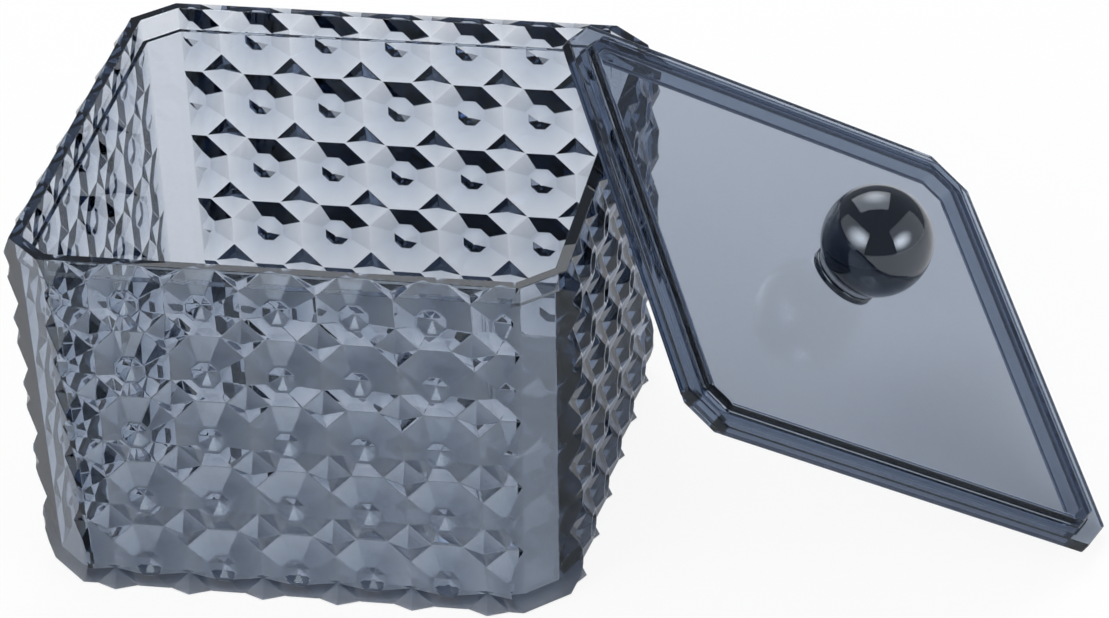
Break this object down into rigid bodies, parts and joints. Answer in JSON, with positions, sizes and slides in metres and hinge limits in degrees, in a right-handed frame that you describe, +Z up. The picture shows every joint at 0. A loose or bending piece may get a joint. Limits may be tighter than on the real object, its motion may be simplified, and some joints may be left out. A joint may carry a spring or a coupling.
{
  "type": "cotton swab holder",
  "caption": "Square smoke-clear tub with faceted outer walls and a low lid with a ball knob, for cotton swabs; the lid is off and leans on the rim.",
  "frame": {"origin": "middle of the tub's underside", "axes": "+Z up, the front wall faces -Y, the lid leans on the rim of the right wall, which faces +X"},
  "size_m": [0.1968, 0.1318, 0.0842],
  "materials": {
    "tub_plastic": "clear smoke, polished",
    "lid_plastic": "clear smoke, polished",
    "knob_plastic": "dark smoke, polished"
  },
  "bodies": {
    "tub": {"tub": "tub_plastic"},
    "lid": {"lid": "lid_plastic", "knob": "knob_plastic"}
  },
  "joints": [
    {"name": "lid_lift", "type": "slide", "parent": "tub", "child": "lid", "axis": [0, 0, 1], "range_m": [0, 0.08]}
  ]
}
